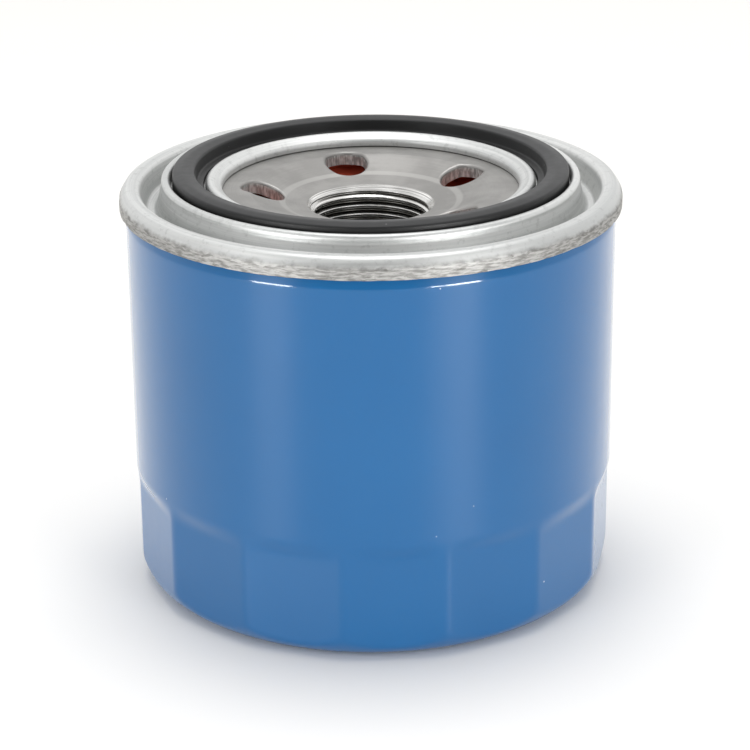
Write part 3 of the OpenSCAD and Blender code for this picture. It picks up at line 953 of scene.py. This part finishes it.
def centre_tube():
    """Cells with a round hole each, laid side by side and wrapped round the axis as two skins."""
    low, high = CAP_FLOOR_Z + FIT_GAP, CAP_ROOF_Z - FIT_GAP
    pitch = (high - low) / (TUBE_ROWS + 0.5)
    per_side = 8
    wide = TAU / TUBE_ROUND
    half = TUBE_SHEET / 2
    mid_r = TUBE_R - half
    burr = 0.12
    points, faces = [], []

    def patch(rows):
        """Adds the quads between successive rows of points."""
        start, n = len(points), len(rows[0])
        for row in rows:
            points.extend(row)
        for i in range(start, start + (len(rows) - 1) * n, n):
            faces.extend([i + j, i + j + 1, i + n + j + 1, i + n + j] for j in range(n - 1))

    def wrap(line, depth):
        """Points at angle u and height v, wrapped round the axis at a depth from the sheet's middle."""
        r = mid_r + depth
        return [(r * math.cos(u), r * math.sin(u), v) for u, v in line]

    def cell(u0, v0):
        """Border of a cell and edge of its hole, both as closed lines with as many points."""
        border = []
        for side, (du, dv) in enumerate(((1, 0), (0, 1), (-1, 0), (0, -1))):
            corner_u = u0 + (wide if side in (1, 2) else 0)
            corner_v = v0 + (pitch if side in (2, 3) else 0)
            for k in range(per_side):
                border.append((corner_u + du * wide * k / per_side, corner_v + dv * pitch * k / per_side))
        border.append(border[0])
        mid_u, mid_v = u0 + wide / 2, v0 + pitch / 2
        hole = []
        for u, v in border:
            t = math.atan2((v - mid_v) / pitch, (u - mid_u) / wide)
            hole.append((mid_u + TUBE_HOLE_R * math.cos(t) / mid_r, mid_v + TUBE_HOLE_R * math.sin(t)))
        return border, hole

    for row in range(TUBE_ROWS):
        for i in range(TUBE_ROUND):
            border, hole = cell(wide * (i + (row % 2) / 2 - 0.5), low + pitch * (row + 0.25))
            for sign in (1, -1):
                rows = [wrap(border, sign * half)]
                for share, inset in ((0.5, 0.0), (0.12, 0.0), (0.0, burr)):
                    line = [
                        (hu + (u - hu) * share, hv + (v - hv) * share)
                        for (u, v), (hu, hv) in zip(border, hole)
                    ]
                    rows.append(wrap(line, sign * (half - inset)))
                patch(rows)
            patch([wrap(hole, sign * (half - burr)) for sign in (1, -1)])
    around = [wide * k / per_side for k in range(TUBE_ROUND * per_side + 1)]
    for v0, v1 in ((low, low + pitch * 0.25), (low + pitch * (TUBE_ROWS + 0.25), high)):
        for sign in (1, -1):
            patch([wrap([(u, v) for u in around], sign * half) for v in (v0, v1)])
    for v in (low, high):
        patch([wrap([(u, v) for u in around], sign * half) for sign in (1, -1)])
    tube = piece("perforated_tube", points, faces, [TUBE])
    weld(tube, 0.004)
    shade(tube)
    return tube


tube = centre_tube()
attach(tube, "element")
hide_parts("center_tube")

# ---- Pleated paper, its seam clip and the potting at both ends ----


def turn_share(s):
    """Share of the turn from the outer to the inner fold at share s of the way, on a straight flank."""
    outer, inner = MEDIA_R - 0.9, MEDIA_BORE_R + 0.9
    r = outer + (inner - outer) * s
    return (1 / r - 1 / outer) / (1 / inner - 1 / outer)


def media_points():
    """Middle line of each level of the pleats, with rounded folds that wander a little."""
    fold, steps, level_count = 0.5, 7, 22
    outer = MEDIA_R - PAPER_T / 2 - 0.1 - fold
    inner = MEDIA_BORE_R + PAPER_T / 2 + 0.1 + fold
    at_tip, at_valley = math.asin(fold / outer) * 0.98, math.asin(fold / inner) * 0.9
    turns = [math.radians(26 * k) for k in range(-3, 4)]
    draw = random.Random(40)
    lean = [draw.uniform(-1, 1) for _ in range(PLEATS)]
    bow = [draw.uniform(-1, 1) for _ in range(2 * PLEATS)]

    def tip_shift(i, t, slack):
        """Sideways wander of tip i, at share t of the height; the first stays straight in its clip."""
        i %= PLEATS
        return 0.010 * lean[i] * slack * math.sin(2.2 * t * math.pi + 3 * lean[i]) if i else 0

    def flank(tip, valley, bulge, shares):
        """Points between a tip's and a valley's angle, at shares of the way inwards."""
        turn, way = valley - tip, inner - outer
        return [
            (outer + way * s, tip + turn * turn_share(s), bulge * math.sin(math.pi * s)) for s in shares
        ]

    levels = np.linspace(MEDIA_LOW_Z, MEDIA_TOP_Z, level_count)
    inwards = [k / steps for k in range(1, steps)]
    outwards = [1 - s for s in inwards]
    out = []
    for z in levels:
        t = (z - MEDIA_LOW_Z) / (MEDIA_TOP_Z - MEDIA_LOW_Z)
        slack = math.sin(math.pi * t)
        line = []
        for i in range(PLEATS):
            tip = TAU * i / PLEATS + tip_shift(i, t, slack)
            valley = TAU * (i + 0.5) / PLEATS
            following = TAU * (i + 1) / PLEATS + tip_shift(i + 1, t, slack)
            down, back = 0.22 * bow[2 * i] * slack, 0.22 * bow[2 * i + 1] * slack
            line += [(outer + fold * math.cos(a), tip, fold * math.sin(a)) for a in turns]
            line += flank(tip + at_tip, valley - at_valley, down, inwards)
            line += [(inner - fold * math.cos(a), valley, fold * math.sin(a)) for a in turns]
            line += flank(following - at_tip, valley + at_valley, back, outwards)
        out.append([
            (r * math.cos(a) - side * math.sin(a), r * math.sin(a) + side * math.cos(a))
            for r, a, side in line
        ])
    return levels, np.array(out)


def pleated_paper():
    """Thickens the pleats' middle lines to both sides and stacks the levels."""
    levels, lines = media_points()
    rows, n = lines.shape[:2]
    ahead, behind = np.roll(lines, -1, axis=1), np.roll(lines, 1, axis=1)
    along = ahead - behind
    along /= np.linalg.norm(along, axis=2)[:, :, None]
    side = np.stack([-along[:, :, 1], along[:, :, 0]], 2) * PAPER_T / 2
    height = np.broadcast_to(levels[:, None, None], (rows, n, 1))
    left = np.concatenate([lines + side, height], 2)
    right = np.concatenate([lines - side, height], 2)
    points = np.concatenate([left, right[::-1]]).reshape(-1, 3)
    return piece("pleated_paper", points, grid_faces(2 * rows, n), [PAPER])


media = pleated_paper()
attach(media, "element")
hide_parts("filter_media")


def seam_clip():
    """Folded channel crimped over the joined ends of the paper."""
    t, gap, depth, crimp_pitch = 0.4, 0.95, 3.6, 6.0
    top = MEDIA_R + FIT_GAP + t / 2
    end, half = top - depth + t / 2, gap + t / 2
    outline = sheet(bent([(end, -half), (top, -half, 0.35), (top, half, 0.35), (end, half)]), t, 0.4)
    low, high = MEDIA_LOW_Z + 0.5, MEDIA_TOP_Z - 0.5
    levels = np.arange(low, high + 0.01, (high - low) / 86)
    points = []
    for z in levels:
        pinch = 0.12 * max(0.0, math.cos(TAU * (z - low) / crimp_pitch)) ** 4
        for x, y in outline:
            points.append((x, y * (1 - pinch * smooth_step(top - 1.0, x, top)), z))
    return piece("paper_seam_clip", points, tube_faces(len(levels), len(outline)), [CLIP])


clip = seam_clip()
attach(clip, "element")
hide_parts("media_seam_clip")


def potting(name, floor, up, node):
    """Set adhesive in an end cap: flat against the cap, creeping up in low waves on the paper's side."""
    inner, outer = TUBE_R + 0.2, CAP_R - CAP_SHEET - 0.6
    face = floor + up * ADHESIVE_T
    outline = dense(bent([
        (inner, floor), (outer, floor), (outer, face, 0.25), (inner, face, 0.25),
    ]), 0.8, True)
    radial, angular = waves(50, (9, 13)), waves(51, (26, 52, 31))

    def shape(r, z, a):
        free = np.abs(z - floor) > ADHESIVE_T * 0.8
        swell = 0.07 * radial(a + r * 0.3) + 0.05 * angular(a) - 0.06
        return r, z + up * free * swell

    ring = lathe(name, outline, [ADHESIVE], FULL, shape)
    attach(ring, "element")
    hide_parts(node)


potting("cap_potting_top", CAP_ROOF_Z - FIT_GAP, -1, "top_cap_adhesive")
potting("cap_potting_bottom", CAP_FLOOR_Z + FIT_GAP, 1, "bottom_cap_adhesive")

# ---- Anti-drain-back valve: one silicone moulding, a hub on the neck and a lip under the holes ----

SPLIT_R = 15.5
MEMBRANE_T = 1.3
MEMBRANE_LOW_Z = 59.0
LIP_R = 25.5
LIP_TOP_Z = PLATE_Z - PLATE_T - 0.3
RISE = (LIP_TOP_Z - 0.35 - MEMBRANE_T - MEMBRANE_LOW_Z) / (LIP_R - SPLIT_R)


def membrane_z(r):
    return MEMBRANE_LOW_Z + RISE * (r - SPLIT_R)


def valve_shape(r, z, a):
    rib = 0.04 * np.sin(36 * a) * smooth_step(r, 17, 19) * smooth_step(r, 23.5, 22)
    return r, z + rib * (z > membrane_z(r) + MEMBRANE_T * 0.6)


valve_outline = dense(bent([
    (NECK_R + 0.1, ELEMENT_TOP_Z - 2.2, 0.1),
    (12.95, ELEMENT_TOP_Z - 2.2, 0.3),
    (12.95, ELEMENT_TOP_Z + FIT_GAP, 0.05),
    (SPLIT_R - 0.15, ELEMENT_TOP_Z + FIT_GAP, 0.5),
    (SPLIT_R - 0.15, MEMBRANE_LOW_Z - 0.05, 0.5),
    (LIP_R, membrane_z(LIP_R), 0.3),
    (LIP_R, LIP_TOP_Z, 0.3),
    (LIP_R - 1, LIP_TOP_Z, 0.3),
    (LIP_R - 1.6, membrane_z(LIP_R - 1.6) + MEMBRANE_T, 0.3),
    (SPLIT_R, MEMBRANE_LOW_Z + MEMBRANE_T, 0.8),
    (13.6, MEMBRANE_LOW_Z + MEMBRANE_T, 0.4),
    (13.4, 61.1, 0.2),
    (NECK_R + 0.9, 61.1, 0.2),
    (NECK_R + 0.1, 60.1, 0.3),
]), 0.35, True)
valve = lathe("anti_drainback_valve", valve_outline, [SILICONE], FULL, valve_shape)
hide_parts("anti_drainback_hub", "anti_drainback_lip")
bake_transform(valve)

# ---- Bypass valve ----

seat_flange = CAP_FLOOR_Z + FIT_GAP + VALVE_SHEET / 2
cage_flange = CAP_FLOOR_Z + 2 * FIT_GAP + 1.5 * VALVE_SHEET
seat = lathe(
    "bypass_seat_cup",
    sheet(bent([
        (PORT_R, SEAT_FLOOR_Z + VALVE_SHEET / 2),
        (SEAT_R - VALVE_SHEET / 2, SEAT_FLOOR_Z + VALVE_SHEET / 2, 0.6),
        (SEAT_R - VALVE_SHEET / 2, seat_flange, 0.4),
        (TUBE_R - TUBE_SHEET - 0.6, seat_flange),
    ]), VALVE_SHEET, 0.4),
    [VALVE], 240,
)
cage = lathe(
    "bypass_cage_cup",
    sheet(bent([
        (STEM_R + 0.08 + VALVE_SHEET / 2, CAGE_TOP_Z + 0.8),
        (STEM_R + 0.08 + VALVE_SHEET / 2, CAGE_TOP_Z - VALVE_SHEET / 2, 0.35),
        (CAGE_MID_R, CAGE_TOP_Z - VALVE_SHEET / 2, 1.2),
        (CAGE_MID_R, cage_flange, 0.4),
        (TUBE_R - TUBE_SHEET - 0.8, cage_flange),
    ]), VALVE_SHEET, 0.4),
    [VALVE], 240,
)


def window_cutter():
    """Four round-cornered blocks, standing where the cage's windows are."""
    wide, tall, soft, count = 6.0, 3.6, 0.7, 4
    mid_z = cage_flange + 0.9 + tall / 2
    loop = []
    for cx, cz, first in ((1, 1, 0), (-1, 1, 90), (-1, -1, 180), (1, -1, 270)):
        for k in range(5):
            a = math.radians(first + 22.5 * k)
            across = cx * (wide / 2 - soft) + soft * math.cos(a)
            loop.append((across, cz * (tall / 2 - soft) + soft * math.sin(a)))
    points, faces = [], []
    for n in range(count):
        turn = math.radians(45 + 360 / count * n)
        start = len(points)
        for reach in (5.0, 13.0):
            for across, up in loop:
                points.append((
                    reach * math.cos(turn) - across * math.sin(turn),
                    reach * math.sin(turn) + across * math.cos(turn),
                    mid_z + up,
                ))
        faces += [[start + j for j in face] for face in tube_faces(2, len(loop))]
    return piece("window_punch", points, faces, [VALVE])


cut(cage, window_cutter())
for part, node in ((seat, "bypass_valve_seat"), (cage, "bypass_valve_cage")):
    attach(part, "element")
    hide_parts(node)

seal_low, seal_high = DISC_LOW_Z - 0.6, DISC_LOW_Z - 0.02
head_low = DISC_LOW_Z - 0.75
disc_bore_r, seal_bore_r = STEM_R + 0.02, PORT_R + 0.35
disc = lathe(
    "bypass_disc_plate",
    dense(bent([
        (disc_bore_r, DISC_LOW_Z),
        (DISC_R, DISC_LOW_Z, 0.2),
        (DISC_R, DISC_LOW_Z + DISC_T, 0.2),
        (disc_bore_r, DISC_LOW_Z + DISC_T),
    ]), 0.5, True),
    [VALVE], 240,
)
seal = lathe(
    "bypass_seal_ring",
    dense(bent([
        (seal_bore_r, seal_low, 0.2),
        (DISC_R - 0.2, seal_low, 0.25),
        (DISC_R - 0.2, seal_high, 0.1),
        (seal_bore_r, seal_high, 0.1),
    ]), 0.3, True),
    [SEAL], 240,
)
stem = lathe(
    "bypass_stem_pin",
    dense(bent([
        (0, head_low),
        (STEM_HEAD_R - 0.3, head_low, 0.15),
        (STEM_HEAD_R, head_low + 0.3, 0.1),
        (STEM_HEAD_R, seal_high, 0.05),
        (STEM_R, seal_high),
        (STEM_R, STEM_TOP_Z - 0.5, 0.25),
        (STEM_R - 0.5, STEM_TOP_Z, 0.2),
        (0, STEM_TOP_Z),
    ]), 0.5),
    [BRASS], 96,
)
for part, node in ((disc, "bypass_valve_disc"), (seal, "bypass_valve_seal"), (stem, "bypass_valve_stem")):
    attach(part, "bypass_poppet")
    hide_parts(node)


# ---- Floor, light and camera ----


def studio_floor():
    half = 3000.0
    corners = [(-half, -half, 0), (half, -half, 0), (half, half, 0), (-half, half, 0)]
    floor = piece("floor", corners, [[0, 1, 2, 3]], [])
    p = Paint("floor_white", Metallic=0.0, Specular_IOR_Level=0.2)
    p.color(p.mix(p.noise(60.0, 3.0), rgb(0.925, 0.91, 0.885), rgb(0.94, 0.925, 0.90)))
    p.roughness(p.blend(p.noise(20.0, 2.0), 0.6, 0.7))
    floor.data.materials.append(p.material)


def studio_world():
    """White surroundings that are dimmer on the camera's side."""
    world = bpy.data.worlds.new("studio")
    scene.world = world
    world.use_nodes = True
    tree = world.node_tree
    coord = tree.nodes.new("ShaderNodeTexCoord")
    split = tree.nodes.new("ShaderNodeSeparateXYZ")
    tree.links.new(coord.outputs["Generated"], split.inputs[0])
    level = tree.nodes.new("ShaderNodeMapRange")
    for socket, value in (("From Min", -1.0), ("From Max", 0.5), ("To Min", 0.25), ("To Max", 1.12)):
        level.inputs[socket].default_value = value
    tree.links.new(split.outputs["Y"], level.inputs["Value"])
    background = tree.nodes["Background"]
    tree.links.new(level.outputs["Result"], background.inputs["Strength"])
    background.inputs["Color"].default_value = (1.0, 1.0, 1.0, 1.0)


def softbox(name, azimuth, elevation, distance, wide, tall, radiance):
    """A rectangular light that faces the can.

    Azimuth turns to the right from the camera's side, in degrees; sizes and distance in millimetres.
    """
    data = bpy.data.lights.new(name, "AREA")
    data.shape = "RECTANGLE"
    data.size, data.size_y = wide * MM, tall * MM
    data.energy = radiance * math.pi * data.size * data.size_y
    light = bpy.data.objects.new(name, data)
    scene.collection.objects.link(light)
    target = Vector((0, 0, 35))
    side, up = math.radians(azimuth), math.radians(elevation)
    aim = Vector((math.sin(side) * math.cos(up), -math.cos(side) * math.cos(up), math.sin(up)))
    light.location = (target + aim * distance) * MM
    light.rotation_euler = aim.to_track_quat("Z", "Y").to_euler()


def studio_camera():
    """Seen from the front, 21.1 degrees above the floor, through a long lens."""
    elevation, roll = math.radians(21.0997), math.radians(-0.519556)
    distance, target = 423.144, Vector((0.42707, 0, 33.615))
    ahead = Vector((0, math.cos(elevation), -math.sin(elevation)))
    level_right, level_up = Vector((1, 0, 0)), Vector((0, math.sin(elevation), math.cos(elevation)))
    right = level_right * math.cos(roll) + level_up * math.sin(roll)
    up = level_up * math.cos(roll) - level_right * math.sin(roll)
    data = bpy.data.cameras.new("camera")
    data.sensor_width = 36.0
    data.lens = 120.923
    data.clip_end = 20.0
    camera = bpy.data.objects.new("camera", data)
    scene.collection.objects.link(camera)
    spot = (target - ahead * distance) * MM
    turn = Matrix((right, up, -ahead)).transposed().to_4x4()
    camera.matrix_world = Matrix.Translation(spot) @ turn
    scene.camera = camera


studio_floor()
studio_world()
softbox("key", 180, 83, 900, 330, 330, 5.6)
softbox("above", 0, 88, 900, 900, 600, 0.62)
softbox("low_front_right", 28, 1.0, 720, 60, 60, 40.0)
softbox("low_right", 40, 1.0, 720, 200, 90, 40.0)
softbox("low_left", -44, 1.0, 720, 230, 90, 31.0)
softbox("high_right", 42, 27, 720, 290, 230, 2.6)
softbox("high_left", -48, 27, 720, 320, 230, 2.4)
studio_camera()
scene.view_settings.view_transform = "Standard"
scene.view_settings.look = "None"
